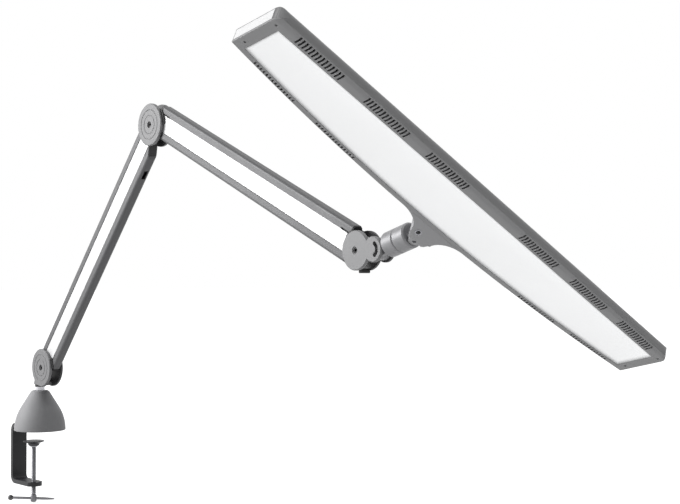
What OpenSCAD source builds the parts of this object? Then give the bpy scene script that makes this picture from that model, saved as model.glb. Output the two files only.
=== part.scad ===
// Desk lamp with a long flat head on a two-part swing arm, held by a screw clamp.
// X points along the reach of the arm, Y across it, Z up. The origin is on the turning axis of
// the post, in the plane of the jaw face that rests on the table top. Units are millimetres.

/* [Clamp] */
// Width of the bent clamp bar
jaw_w = 21; // [18:0.5:26]
// Thickness of the clamp bar
jaw_t = 5.5; // [4:0.5:7]
// Distance from the post axis to the inner face of the clamp's back
throat = 58; // [52:1:70]
// Open height between the two jaws
jaw_gap = 71; // [50:1:90]
// Outer bend radius of the clamp bar
bend_r = 11; // [8:0.5:14]
// Distance of the screw axis behind the post axis
screw_back = 17; // [14:0.5:20]
// Diameter of the clamp screw
screw_d = 6; // [5:0.5:8]
// Height of the pressure plate below the table face at rest
pad_drop = 16; // [10:1:30]
// Diameter of the pressure plate
pad_d = 28; // [22:1:32]
// Length of the screw below the lower jaw
screw_tail = 22; // [16:1:30]
// Length of the sliding bar
bar_len = 62; // [50:1:80]
// Diameter of the sliding bar
bar_d = 3.4; // [2.6:0.2:4]
// Direction of the sliding bar, seen from above
bar_turn = 40; // [0:5:90]

/* [Base] */
// Height of the bell-shaped cover
bell_h = 53; // [46:1:57]
// Radius of the cover at its rim
bell_r = 33.8; // [31:0.2:38]
// Radius of the curved flank of the cover
bell_flank_r = 58.7; // [55:0.1:66]
// Height where the curved flank becomes a straight cone
bell_cone_z = 31; // [26:1:36]
// Wall of the cover
bell_wall = 2; // [1.5:0.1:3]
// Diameter of the turning post
post_d = 12; // [10:0.5:13]
// Outer diameter of the post socket
socket_d = 20; // [18:0.5:22]
// Height of the base pivot above the table face
pivot_z = 84.5; // [82:0.5:95]
// Distance of the base pivot in front of the post axis
pivot_x = 20; // [18:0.5:24]

/* [Joints] */
// Radius of the round cheeks at the base and elbow
disc_r = 25; // [24:0.5:28]
// Thickness of each cheek
cheek_t = 3.4; // [3:0.2:6]
// Half of the space between two cheeks
cheek_in = 6.5; // [6.4:0.1:7]
// Diameter of the joint bolts
bolt_d = 6; // [5:0.2:6.6]
// Diameter of the small link pins
pin_d = 3.2; // [2.6:0.1:3.6]
// Radial running clearance of bolts and pins
fit = 0.05; // [0.02:0.01:0.1]

/* [Arms] */
// Distance between the pivots of each arm
arm_len = 400; // [340:1:460]
// Depth of the arm section
arm_depth = 39; // [38:0.5:42]
// Width of the arm section
arm_w = 12; // [11.8:0.1:12.4]
// Corner radius of the arm section
arm_corner = 3.5; // [2:0.1:4]
// Height of the sunken panel on each side
panel_h = 20; // [18:0.5:24]
// Thickness of the panel strip
panel_t = 0.8; // [0.6:0.1:1]
// Angle of the lower arm above the horizon
lower_angle = 48.5; // [42:0.5:54]
// Angle of the upper arm below the horizon
upper_angle = 22.7; // [16:0.1:26]
// Height of the upper arm's centre line above the elbow bolt
upper_lift = 9; // [7:0.5:10]
// Distance of the tie rod pins from the joint bolts
rod_offset = 11; // [10.6:0.1:11.4]
// Outer diameter of the balance springs
spring_d = 7; // [5:0.5:7]

/* [Shade bracket] */
// Radius of the large lobe of the bracket plates
lobe_r = 19.5; // [18:0.5:20]
// Radius of the small lobe
tilt_lobe_r = 12.5; // [11:0.5:13]
// Distance from the arm pivot to the tilt pivot
tilt_x = 25; // [24:0.5:27]
// Height of the tilt pivot above the arm pivot
tilt_z = 0.7; // [0:0.1:2]
// Radius of the curved limit slot
slot_r = 6.3; // [6:0.1:7]
// Width of the curved limit slot
slot_w = 4; // [3:0.1:4.2]
// Rise of the swivel barrel above the horizon
tilt_angle = 16; // [5:1:25]
// Diameter of the swivel barrel
barrel_d = 25; // [23:0.5:26]
// Distance from the tilt pivot to the seam of the barrel
seam_at = 30.4; // [28:0.2:32]
// Distance from the tilt pivot to the head pin
head_pin_at = 53; // [51:0.5:56]

/* [Head] */
// Length of the head
head_len = 543; // [400:1:620]
// Distance from the head pin to the middle of the front edge
neck_reach = 21.8; // [21:0.2:30]
// Width of the head at its ends
head_end_w = 57.5; // [52:0.5:66]
// How far the front edge bows out at the middle
bow = 18.2; // [14:0.2:22]
// Thickness of the head
head_t = 14; // [13.5:0.5:18]
// Depth of the underside below the head pin's middle
head_drop = 3.8; // [3:0.2:4.6]
// Radius of the long back edge
back_round = 6.5; // [5:0.5:6.8]
// Radius of the two back corners
corner_r = 10; // [6:0.5:14]
// Wall of the top housing
head_wall = 1.8; // [1.4:0.1:2.2]
// Thickness of the underside frame
frame_t = 2.4; // [2.2:0.1:2.8]
// Width of the front bezel
bezel_front = 9; // [8:0.5:11]
// Width of the back bezel
bezel_back = 13; // [11.5:0.5:16]
// Width of the end bezels
bezel_end = 11.5; // [10:0.5:15]
// Pitch of the vent slots
vent_pitch = 3.6; // [3.2:0.1:4.2]
// Number of slots in each group
vents_in_group = 15; // [8:1:17]
// Roll of the head toward the viewer's side
head_roll = 31; // [0:1:40]
// Turn of the head about its pin
head_turn = 5.6; // [0:0.2:12]
// Diameter of the push switch button
button_d = 13; // [10:0.5:15]
// Travel of the push switch
button_travel = 1.5; // [1:0.1:2]

/* [Hidden] */
$fn = 64;
slack = 0.3;
lip_z = -jaw_gap - jaw_t;
screw_end_z = lip_z - screw_tail;
bar_z = screw_end_z + 5;
nose_r = jaw_w / 2 + 0.5;
bell_cone_r = bell_r - bell_flank_r + sqrt(pow(bell_flank_r, 2) - pow(bell_cone_z, 2));
// The cone above the flank closes on the post socket
bell_top_r = socket_d / 2 + 1.27;
bell_slope = (bell_cone_r - bell_top_r) / (bell_h - bell_cone_z);
bell_inner_top_r = socket_d / 2 + 0.1;
socket_h = bell_h - bell_wall - slack;
socket_screw_x = socket_d / 2 + 0.4;
collar_h = 3;
fork_foot = pivot_z - disc_r + 1.6;
fork_wall = 4;
boss_top = fork_foot + 8;
cheek_out = cheek_in + cheek_t;
bore_r = bolt_d / 2 + fit;
spacer_r = bolt_d / 2 + 1.2;
// Layers across the joints, from the viewer's side to the back
washer_y = [-cheek_in + 0.05, -5.95];
outer_tongue_y = [-5.9, -3];
centre_tongue_y = [-2.6, 0.3];
rod_y = [0.7, 3];
tongue_r = 14;
arm_stop = 16;
flange_t = 1.4;
// Where the folding corner of each arm end is cut: depth at the end, and length along the arm
lower_cut = [7, 36];
upper_cut = [16, 22];
// Middle of each slit along the lower and upper arm
lower_slits = [29, arm_len - 30.6];
upper_slits = [26, arm_len - 26];
slit_len = 13;
slit_h = 2;
// Cable hole in the underside of the lower arm, measured back from the elbow bolt
cable_hole = [66, 54];
cable_hole_w = 5;
wall_rail = 1.4;
panel_sink = 0.6;
skin_y = arm_w / 2 - panel_sink - panel_t;
cavity_y = skin_y - 0.8;
cavity_z = arm_depth / 2 - 2.2;
plug_len = 26;
rod_w = 4.4;
eye_r = 3.4;
spring_z = -10;
hook_z = spring_z - spring_d / 2 + 0.6;
lift_angle = asin(upper_lift / arm_len);
base = [pivot_x, 0, pivot_z];
elbow = base + arm_len * [cos(lower_angle), 0, sin(lower_angle)];
shade = elbow + arm_len * [cos(upper_angle), 0, -sin(upper_angle)];
tilt = shade + [tilt_x, 0, tilt_z];
lower_rod_shift = rod_offset * [-sin(lower_angle), 0, cos(lower_angle)];
upper_rod_shift = rod_offset * [sin(upper_angle), 0, cos(upper_angle)];
// Half of the opening angle of the limit slot
slot_span = 58;
limit_pin_r = slot_w / 2 - slack;
seam_cut = 0.9;
tilt_bolt_depth = cheek_t - 1.4;
barrel_r = barrel_d / 2;
barrel_from = tilt_lobe_r + 2.2;
neck_root_r = 6;
barrel_to = head_pin_at - neck_root_r - slack;
pin_tongue_r = 5.2;
pin_tongue_h = 4.5;
head_half = head_len / 2;
bow_r = (pow(head_half, 2) + pow(bow, 2)) / (2 * bow);
head_back = neck_reach + bow + head_end_w;
head_top = head_t - head_drop;
frame_top = frame_t - head_drop;
window_back = head_back - bezel_back;
window_half = head_half - bezel_end;
group_pitch = vent_pitch * vents_in_group + 24;
first_group = group_pitch * 0.83;
cap_t = 2.4;
// Rim of the housing that stays round each end cap
cap_rim = 0.9;
vent_w = 2;
back_vent_len = 6.4;
front_vent_len = 4;
// Light chips on each side of the middle of a strip
chips = 14;
board_w = 22;
board_from = 0.037 * head_len;
board_len = 0.166 * head_len;
button_at = [window_back - 6, -head_half + 60];

// Front edge of the head at a distance y from its middle, moved in by inset
function front_x(y, inset) =
    neck_reach + inset + bow_r - sqrt(pow(bow_r, 2) - pow(y, 2));

module ring(r_out, r_in, h) {
    difference() {
        cylinder(r = r_out, h = h);
        translate([0, 0, -1]) cylinder(r = r_in, h = h + 2);
    }
}

// Solid or bored cylinder along Y between two layers
module across(y, r, bore = 0) {
    translate([0, y[1], 0]) rotate([90, 0, 0])
        if (bore > 0) ring(r, bore, y[1] - y[0]);
        else cylinder(r = r, h = y[1] - y[0]);
}

// Box between two layers of Y
module slab(x, y, z) {
    translate([x[0], y[0], z[0]]) cube([x[1] - x[0], y[1] - y[0], z[1] - z[0]]);
}

module rounded(w, h, r) {
    square([w - 2 * r, h], center = true);
    square([w, h - 2 * r], center = true);
    for (x = [-1, 1], y = [-1, 1]) translate([x * (w / 2 - r), y * (h / 2 - r)]) circle(r = r);
}

module at_lower() translate(base) rotate([0, -lower_angle, 0]) children();
module at_upper() translate(elbow) rotate([0, upper_angle, 0]) children();
module at_upper_profile()
    translate(shade) rotate([0, upper_angle + lift_angle, 0]) translate([-arm_len, 0, 0]) children();
module at_tilt() translate(tilt) rotate([0, -tilt_angle, 0]) children();
module at_roll() at_tilt() rotate([-head_roll, 0, 0]) children();
module at_pin() at_roll() translate([head_pin_at, 0, 0]) children();
module at_head() at_pin() rotate([0, 0, head_turn]) children();

// Clamp

module clamp_outline() {
    difference() {
        translate([-throat - jaw_t, lip_z]) square([throat + jaw_t + bell_r - 8, jaw_gap + 2 * jaw_t]);
        translate([-throat, -jaw_gap]) square([throat + bell_r, jaw_gap]);
        for (z = [lip_z, jaw_t]) translate([-throat - jaw_t, z]) {
            s = sign(z);
            difference() {
                translate([-1, s > 0 ? -bend_r : -1]) square([bend_r + 1, bend_r + 1]);
                translate([bend_r, -s * bend_r]) circle(r = bend_r);
            }
        }
    }
    // Inner fillets of the two bends
    fillet_r = bend_r - jaw_t;
    for (z = [-jaw_gap, 0]) translate([-throat, z]) difference() {
        translate([-1, z < 0 ? -1 : -fillet_r]) square([fillet_r + 1, fillet_r + 1]);
        translate([fillet_r, (z < 0 ? 1 : -1) * fillet_r]) circle(r = fillet_r);
    }
}

module clamp_bracket() color([0.16, 0.16, 0.18]) {
    difference() {
        translate([0, jaw_w / 2, 0]) rotate([90, 0, 0]) linear_extrude(jaw_w) clamp_outline();
        // The lower jaw stops at the round nose
        difference() {
            slab([-screw_back, bell_r + 1], [-jaw_w, jaw_w], [lip_z - 1, -jaw_gap + 1]);
            translate([-screw_back, 0, lip_z - 2]) cylinder(r = nose_r, h = jaw_t + 4);
        }
        translate([-screw_back, 0, lip_z - 1]) cylinder(r = screw_d / 2 + fit, h = jaw_t + 2);
        for (x = [-1, 1]) translate([x * socket_screw_x, 0, -1]) {
            cylinder(r = 1.5, h = jaw_t + 2);
            cylinder(r = 3.2, h = 3.2);
        }
    }
}

module clamp_screw() color([0.66, 0.67, 0.69]) {
    translate([-screw_back, 0, 0]) difference() {
        union() {
            translate([0, 0, screw_end_z]) cylinder(r = screw_d / 2, h = -pad_drop - 3 - screw_end_z);
            translate([0, 0, screw_end_z]) cylinder(r = screw_d / 2 + 1, h = 10);
            translate([0, 0, -pad_drop - 4.2]) sphere(r = screw_d / 2 + 0.6);
        }
        translate([0, 0, bar_z]) rotate([0, 0, bar_turn]) rotate([0, 90, 0])
            cylinder(r = bar_d / 2 + fit, h = 4 * screw_d, center = true);
    }
}

module at_bar() translate([-screw_back, 0, bar_z]) rotate([0, 0, bar_turn]) rotate([0, 90, 0]) children();

// The bar tapers toward its free end
module sliding_bar() color([0.5, 0.5, 0.52]) at_bar() {
    taper = 12;
    translate([0, 0, -bar_len * 0.53]) cylinder(r = bar_d / 2, h = bar_len - taper);
    translate([0, 0, bar_len * 0.47 - taper]) cylinder(r1 = bar_d / 2, r2 = bar_d / 4, h = taper);
}

module bar_ball() color([0.22, 0.22, 0.23]) at_bar() translate([0, 0, -bar_len * 0.53])
    difference() {
        sphere(r = bar_d + 0.3);
        cylinder(r = bar_d / 2 + fit, h = bar_d + 2);
    }

module pressure_plate() color([0.6, 0.61, 0.63]) translate([-screw_back, 0, -pad_drop]) {
    rim = 1.2;
    seat = screw_d / 2 + 0.65;
    rotate_extrude() difference() {
        polygon([[0, 0], [pad_d / 2, 0], [pad_d / 2, -rim], [seat + 3, -3.4], [seat + 1.6, -6.6], [0, -6.6]]);
        translate([0, -4.2]) circle(r = seat);
        translate([0, -7]) square([screw_d / 2 + 0.4, 3]);
    }
}

module plate_retainer() color([0.3, 0.3, 0.31])
    translate([-screw_back, 0, -pad_drop - 8]) ring(screw_d / 2 + 2, screw_d / 2 + fit, 1.2);

// Base

module post_socket() color([0.3, 0.3, 0.32]) difference() {
    union() {
        translate([0, 0, jaw_t]) cylinder(r = socket_d / 2, h = socket_h - jaw_t);
        translate([0, 0, jaw_t]) cylinder(r = socket_screw_x + 3.4, h = 4);
    }
    translate([0, 0, jaw_t + 5]) cylinder(r = post_d / 2 + fit, h = socket_h);
    for (x = [-1, 1]) translate([x * socket_screw_x, 0, jaw_t - 1]) cylinder(r = 1.45, h = 4.5);
}

module socket_screws() color([0.12, 0.12, 0.12])
    for (x = [-1, 1]) translate([x * socket_screw_x, 0, 0.5]) {
        cylinder(r = 1.4, h = jaw_t + 2.4);
        cylinder(r = 2.9, h = 1.6);
    }

function flank(z, inset) = bell_r - bell_flank_r + sqrt(pow(bell_flank_r - inset, 2) - pow(z, 2));

module bell_cover() color([0.58, 0.58, 0.6]) difference() {
    steps = 12;
    edge = 1.6;
    rotate_extrude($fn = 96) difference() {
        polygon(concat(
            [[0, 0]],
            [for (i = [0:steps]) let (z = bell_cone_z * i / steps) [flank(z, 0), z]],
            [[bell_top_r + edge * bell_slope, bell_h - edge], [bell_top_r - 0.8, bell_h], [0, bell_h]]
        ));
        polygon(concat(
            [[0, -1], [flank(0, bell_wall), -1]],
            [for (i = [0:steps]) let (z = bell_cone_z * i / steps) [flank(z, bell_wall), z]],
            [[bell_inner_top_r, bell_h - bell_wall], [0, bell_h - bell_wall]]
        ));
        square([post_d / 2 + slack, bell_h + 1]);
    }
    // Notch for the clamp bar
    slab([-bell_r - 1, 0], [-jaw_w / 2 - slack, jaw_w / 2 + slack], [-1, jaw_t + slack]);
}

module post() color([0.75, 0.76, 0.78])
    translate([0, 0, jaw_t + 5.2]) cylinder(r = post_d / 2, h = boss_top - 1.6 - jaw_t - 5.2);

module post_collar() color([0.12, 0.12, 0.13])
    translate([0, 0, fork_foot - 0.1 - collar_h]) ring(post_d / 2 + 0.8, post_d / 2 + fit, collar_h);

// Round cheek with a chamfered rim, fine turned rings and a hub recess, its face toward -Y
module cheek_disc(r, t) {
    rim = 0.9;
    groove = 0.35;
    rotate([90, 0, 0]) rotate_extrude($fn = 96) difference() {
        polygon([[0, 0], [r, 0], [r, t - rim], [r - rim, t], [0, t]]);
        for (k = [0.42, 0.68]) translate([r * k, t - groove]) square([0.8, 1]);
        translate([0, t - 1.2]) square([bolt_d / 2 + 1, 2]);
        square([bore_r, t + 1]);
    }
}

module base_cheek_front() color([0.64, 0.64, 0.65]) difference() {
    union() {
        translate(base) translate([0, -cheek_in, 0]) cheek_disc(disc_r, cheek_t);
        // Floor of the fork, with the boss that grips the post
        slab([-3, pivot_x + 3], [-cheek_in - 1, cheek_in - 1.4], [fork_foot, fork_foot + fork_wall]);
        translate([0, 0, fork_foot]) cylinder(r = post_d / 2 + 1.6, h = boss_top - fork_foot);
    }
    translate([0, 0, fork_foot - 1]) cylinder(r = post_d / 2 + fit, h = boss_top - fork_foot - 0.5);
    slab([-20, pivot_x + 20], [cheek_in - 1.4, cheek_in + 10], [fork_foot - 1, boss_top + 1]);
}

module base_cheek_back() color([0.2, 0.2, 0.21]) {
    translate(base) translate([0, cheek_in, 0]) mirror([0, 1, 0]) cheek_disc(disc_r, cheek_t);
    slab([4, pivot_x + 3], [cheek_in - 1.35, cheek_in + 1], [fork_foot, fork_foot + fork_wall]);
}

// Joint bolt with a sunken front end and a round head at the back
module joint_bolt() {
    across([-cheek_out + 1.3, cheek_out + 0.2], bolt_d / 2);
    across([cheek_out + 0.05, cheek_out + 1.8], bolt_d / 2 + 2.6);
}

module joint_washer() across(washer_y, tongue_r - 2, bore_r);

module base_bolt() color([0.18, 0.18, 0.19]) translate(base) joint_bolt();
module base_spacer() color([0.4, 0.4, 0.4]) translate(base) {
    joint_washer();
    across([-2.7, cheek_in - 0.05], spacer_r, bore_r);
}
module base_rod_pin() color([0.5, 0.5, 0.5]) translate(base + lower_rod_shift)
    across([0.6, cheek_in - 0.05], pin_d / 2);

// Arms

module cavity_section(gap) {
    square([2 * (cavity_y - gap), 2 * (cavity_z - gap)], center = true);
    step_z = panel_h / 2 + 1.2;
    for (s = [-1, 1]) translate([0, s * (step_z + cavity_z) / 2])
        square([arm_w - 2 * wall_rail - 2 * gap, cavity_z - step_z - 2 * gap], center = true);
}

module arm_section() {
    difference() {
        rounded(arm_w, arm_depth, arm_corner);
        for (s = [-1, 1]) translate([s * (skin_y + 2), 0]) square([4, panel_h], center = true);
        cavity_section(0);
    }
}

// Extrudes a section drawn in (y, z) along X
module along(x) translate([x[0], 0, 0]) rotate([90, 0, 90]) linear_extrude(x[1] - x[0]) children();

// Cuts the lower corner of an arm end, so that the arms can fold
module corner_cut(cut) {
    slope = (cut[0] - arm_depth / 2) / (cut[1] - arm_stop);
    rotate([90, 0, 0]) translate([0, 0, -arm_w]) linear_extrude(2 * arm_w) polygon([
        [0, -cut[0]], [arm_stop, -cut[0]],
        [cut[1], -arm_depth / 2], [cut[1] + 3, -arm_depth / 2 + 3 * slope], [0, -arm_depth]
    ]);
}

// Narrow slits between panel and rail, near the arm ends; side is -1 for the lower rail
module rail_slits(places, side) for (x = places) translate([x, 0, side * (panel_h / 2 + 0.4)])
    cube([slit_len, arm_w + 2, slit_h], center = true);

// Plug inside the arm section, with the flange that closes the end
module end_plug(cut) difference() {
    union() {
        along([arm_stop - flange_t, arm_stop + plug_len]) cavity_section(0.15);
        along([arm_stop - flange_t, arm_stop - 0.05]) rounded(arm_w - 0.4, arm_depth - 1, arm_corner);
    }
    if (cut[0] > 0) corner_cut(cut);
}

module rod_channel(low, high) slab([-20, arm_stop + plug_len + 5], [0.4, 3.3], [low, high]);

// Small hole in the inner end of a plug, where the hook of a spring is held
module hook_hole() translate([arm_stop + plug_len - 5, 0, hook_z])
    rotate([0, 90, 0]) cylinder(r = 0.6 + fit, h = 6);

// Flat tongue round a joint bolt, reaching to the flange
module tongue(y) {
    across(y, tongue_r);
    slab([0, arm_stop - flange_t + 0.3], y, [-lower_cut[0], tongue_r - 1.5]);
}

module at_far_end() translate([arm_len, 0, 0]) mirror([1, 0, 0]) children();

module lower_profile() color([0.62, 0.62, 0.64]) at_lower() difference() {
    along([arm_stop, arm_len - arm_stop]) arm_section();
    at_far_end() corner_cut(lower_cut);
    rail_slits(lower_slits, -1);
    // Cable hole in the underside
    slab([arm_len - cable_hole[0], arm_len - cable_hole[1]], [-cable_hole_w / 2, cable_hole_w / 2],
        [-arm_depth, -cavity_z + 1]);
}

module panel_pair(x) along(x) for (s = [-1, 1])
    translate([s * (skin_y + panel_t / 2 + 0.02), 0]) square([panel_t, panel_h - 0.4], center = true);

module lower_panels() color([0.94, 0.94, 0.94]) at_lower() difference() {
    panel_pair([arm_stop, arm_len - arm_stop]);
    at_far_end() corner_cut(lower_cut);
    rail_slits(lower_slits, -1);
}

module lower_foot_fitting() color([0.1, 0.1, 0.1]) at_lower() difference() {
    union() {
        end_plug([0, 0]);
        tongue(outer_tongue_y);
    }
    across([-10, 10], bore_r);
    rod_channel(6.2, 14.5);
    hook_hole();
}

module lower_top_fitting() color([0.1, 0.1, 0.1])
    at_lower() at_far_end() difference() {
        union() {
            end_plug(lower_cut);
            tongue(outer_tongue_y);
        }
        across([-10, 10], bore_r);
        rod_channel(6.2, 14.5);
        hook_hole();
    }

// Coil of a balance spring, drawn as its outer tube with a hook rod at each end
module balance_spring() {
    hook = 14;
    from = arm_stop + plug_len - 4;
    to = arm_len - from;
    translate([from + hook, 0, spring_z]) rotate([0, 90, 0])
        ring(spring_d / 2, spring_d / 2 - 1.2, to - from - 2 * hook);
    for (x = [from, to - hook - 2]) translate([x, 0, hook_z])
        rotate([0, 90, 0]) cylinder(r = 0.6, h = hook + 2);
}

module lower_spring() color([0.45, 0.45, 0.46]) at_lower() balance_spring();

module tie_rod(far_gap) difference() {
    union() {
        slab([0, arm_len], rod_y, [-rod_w / 2, rod_w / 2]);
        for (x = [0, arm_len]) translate([x, 0, 0]) across(rod_y, eye_r);
    }
    across([-10, 10], pin_d / 2 + fit);
    translate([arm_len, 0, 0]) across([-10, 10], pin_d / 2 + far_gap);
}

module lower_tie_rod() color([0.7, 0.7, 0.7])
    translate(base + lower_rod_shift) rotate([0, -lower_angle, 0]) tie_rod(slack);

// Elbow

module elbow_cheek_front() color([0.66, 0.66, 0.67]) translate(elbow)
    translate([0, -cheek_in, 0]) cheek_disc(disc_r, cheek_t);
module elbow_cheek_back() color([0.2, 0.2, 0.21]) translate(elbow)
    translate([0, cheek_in, 0]) mirror([0, 1, 0]) cheek_disc(disc_r, cheek_t);
module elbow_bolt() color([0.18, 0.18, 0.19]) translate(elbow) joint_bolt();
module elbow_spacer() color([0.4, 0.4, 0.4]) translate(elbow) {
    joint_washer();
    across([0.6, cheek_in - 0.05], spacer_r, bore_r);
}
module elbow_rod_pins() color([0.5, 0.5, 0.5])
    for (shift = [lower_rod_shift, upper_rod_shift]) translate(elbow + shift)
        across([0.6, cheek_in - 0.05], pin_d / 2);

module upper_profile() color([0.62, 0.62, 0.64]) at_upper_profile() difference() {
    along([arm_stop, arm_len - arm_stop]) arm_section();
    corner_cut(upper_cut);
    rail_slits(upper_slits, 1);
}

module upper_panels() color([0.94, 0.94, 0.94]) at_upper_profile() difference() {
    panel_pair([arm_stop, arm_len - arm_stop]);
    corner_cut(upper_cut);
    rail_slits(upper_slits, 1);
}

module upper_elbow_fitting() color([0.1, 0.1, 0.1]) difference() {
    union() {
        at_upper_profile() end_plug(upper_cut);
        at_upper() tongue(centre_tongue_y);
    }
    at_upper() across([-10, 10], bore_r);
    at_upper() rod_channel(3.9, 14.5);
    at_upper_profile() hook_hole();
}

module upper_shade_fitting() color([0.1, 0.1, 0.1]) difference() {
    union() {
        at_upper_profile() at_far_end() end_plug([0, 0]);
        at_upper() at_far_end() tongue(outer_tongue_y);
    }
    at_upper() at_far_end() across([-10, 10], bore_r);
    at_upper() at_far_end() rod_channel(3.9, 14.5);
    at_upper_profile() at_far_end() hook_hole();
}

module upper_spring() color([0.45, 0.45, 0.46]) at_upper_profile() balance_spring();

module upper_tie_rod() color([0.7, 0.7, 0.7])
    translate(elbow + upper_rod_shift) rotate([0, upper_angle, 0]) tie_rod(slack);

// Shade bracket

// Curved slot round the tilt pivot, open between -span and span
module limit_slot(span) translate([tilt_x, tilt_z]) {
    difference() {
        circle(r = slot_r + slot_w / 2);
        circle(r = slot_r - slot_w / 2);
        reach = 3 * slot_r;
        for (s = [-1, 1]) polygon([[0, 0], reach * [cos(span), s * sin(span)],
            reach * [-1, s * 1.5], [-reach, 0]]);
    }
    for (s = [-1, 1]) translate(slot_r * [cos(span), s * sin(span)]) circle(r = slot_w / 2 + 0.1);
}

// Disc with a chamfered rim, its face up
module lobe_disc(r) {
    rim = 0.9;
    cylinder(r = r, h = cheek_t - rim, $fn = 96);
    translate([0, 0, cheek_t - rim]) cylinder(r1 = r, r2 = r - rim, h = rim, $fn = 96);
}

// Plate of two lobes, its face toward -Y; the tilt bolt enters it from the inside to a depth
module bracket_plate(tilt_bore) translate(shade) rotate([90, 0, 0]) difference() {
    union() {
        lobe_disc(lobe_r);
        translate([tilt_x, tilt_z, 0]) lobe_disc(tilt_lobe_r);
    }
    translate([0, 0, -1]) linear_extrude(cheek_t + 2) {
        circle(r = bore_r);
        limit_slot(slot_span);
    }
    translate([tilt_x, tilt_z, -1]) cylinder(r = pin_d / 2 + fit, h = tilt_bore + 1);
    translate([0, 0, cheek_t - 0.6]) cylinder(r = bolt_d / 2 + 1, h = 1);
}

module bracket_plate_front() color([0.62, 0.62, 0.63]) translate([0, -cheek_in, 0]) bracket_plate(tilt_bolt_depth + 0.1);
module bracket_plate_back() color([0.2, 0.2, 0.21])
    translate([0, cheek_in, 0]) mirror([0, 1, 0]) bracket_plate(cheek_t + 1);
module shade_bolt() color([0.18, 0.18, 0.19]) translate(shade) joint_bolt();
module shade_spacer() color([0.4, 0.4, 0.4]) translate(shade) {
    joint_washer();
    across([-2.7, cheek_in - 0.05], spacer_r, bore_r);
}
module shade_rod_pin() color([0.5, 0.5, 0.5]) translate(shade + upper_rod_shift)
    across([0.6, cheek_in - 0.05], pin_d / 2);

// Rubber stop on the back plate, just proud of the large lobe's lower edge
module bump_stop() color([0.05, 0.05, 0.05]) translate(shade + [1, 0, -lobe_r - 0.2])
    rotate([90, 0, 0]) translate([0, 0, -cheek_in + 0.05]) linear_extrude(cheek_in + 3)
        rounded(6, 4.5, 1.2);

// Tilt knuckle, swivel and head pin

module tilt_knuckle() color([0.55, 0.55, 0.56]) at_tilt() difference() {
    union() {
        across([-cheek_in + 0.3, cheek_in - 0.3], tilt_lobe_r - 2);
        slab([0, barrel_from + 1], [-cheek_in + 0.3, cheek_in - 0.3], [-8.5, 8.5]);
        translate([barrel_from, 0, 0]) rotate([0, 90, 0]) cylinder(r1 = barrel_r - 1.2, r2 = barrel_r, h = 1.2);
        translate([barrel_from + 1.2, 0, 0]) rotate([0, 90, 0])
            cylinder(r = barrel_r, h = seam_at - seam_cut - barrel_from - 1.2);
        translate([seam_at - seam_cut, 0, 0]) rotate([0, 90, 0])
            cylinder(r1 = barrel_r, r2 = barrel_r - seam_cut, h = seam_cut);
    }
    across([-10, 10], pin_d / 2 + fit);
    rotate([0, tilt_angle, 0]) translate([slot_r, 0, 0]) across([-10, 0], limit_pin_r + fit);
    translate([seam_at - 11, 0, 0]) rotate([0, 90, 0]) cylinder(r = 4 + fit, h = 12);
}

module tilt_bolt() color([0.15, 0.15, 0.16]) translate(tilt) {
    across([-cheek_in - tilt_bolt_depth, cheek_out + 0.2], pin_d / 2);
    across([cheek_out + 0.05, cheek_out + 1.8], pin_d / 2 + 2);
}

module limit_pin() color([0.08, 0.08, 0.08]) translate(tilt + [slot_r, 0, 0])
    across([-cheek_out + 1.2, -0.05], limit_pin_r);

module swivel_axle() color([0.6, 0.6, 0.6]) at_tilt()
    translate([seam_at - 10.9, 0, 0]) rotate([0, 90, 0]) cylinder(r = 4, h = 20);

module swivel_barrel() color([0.6, 0.6, 0.61]) at_roll() difference() {
    union() {
        translate([seam_at + 0.2, 0, 0]) rotate([0, 90, 0])
            cylinder(r1 = barrel_r - seam_cut, r2 = barrel_r, h = seam_cut);
        translate([seam_at + seam_cut + 0.2, 0, 0]) rotate([0, 90, 0])
            cylinder(r = barrel_r, h = barrel_to - seam_at - seam_cut - 1.6);
        translate([barrel_to - 1.4, 0, 0]) rotate([0, 90, 0]) cylinder(r1 = barrel_r, r2 = barrel_r - 1.4, h = 1.4);
        slab([barrel_to - 2, head_pin_at], [-pin_tongue_r, pin_tongue_r], [-pin_tongue_h, pin_tongue_h]);
        translate([head_pin_at, 0, -pin_tongue_h]) cylinder(r = pin_tongue_r, h = 2 * pin_tongue_h);
    }
    translate([seam_at - 1, 0, 0]) rotate([0, 90, 0]) cylinder(r = 4 + fit, h = 10.3);
    translate([head_pin_at, 0, -20]) cylinder(r = 2 + fit, h = 40);
}

module head_pin() color([0.8, 0.8, 0.8]) at_pin() {
    translate([0, 0, -9.2]) cylinder(r = 2, h = 18.4);
    translate([0, 0, 9.05]) cylinder(r = 3.4, h = 1.6);
}

// Head

module side_outline(inset) {
    r = back_round - inset;
    low = -head_drop + inset;
    high = head_top - inset;
    back = head_back - inset;
    translate([-5, low]) square([back - r + 5, high - low]);
    translate([back - r - 1, low + r]) square([r + 1, high - low - 2 * r]);
    for (z = [low + r, high - r]) translate([back - r, z]) circle(r = r);
}

module plan_outline(inset) {
    half = head_half - inset;
    back = head_back - inset;
    r = corner_r - inset;
    steps = 24;
    arc_steps = 8;
    polygon(concat(
        [for (i = [0:steps]) let (y = half * (2 * i / steps - 1)) [front_x(y, inset), y]],
        [for (i = [0:arc_steps]) let (a = 90 * i / arc_steps)
            [back - r + r * sin(a), half - r + r * cos(a)]],
        [for (i = [0:arc_steps]) let (a = 90 * i / arc_steps)
            [back - r + r * cos(a), -half + r - r * sin(a)]]
    ));
}

// Whole body of the head, moved in by inset
module head_body(inset) intersection() {
    translate([0, 0, -20]) linear_extrude(40) plan_outline(inset);
    translate([0, head_half + 5, 0]) rotate([90, 0, 0]) linear_extrude(head_len + 10) side_outline(inset);
}

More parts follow.
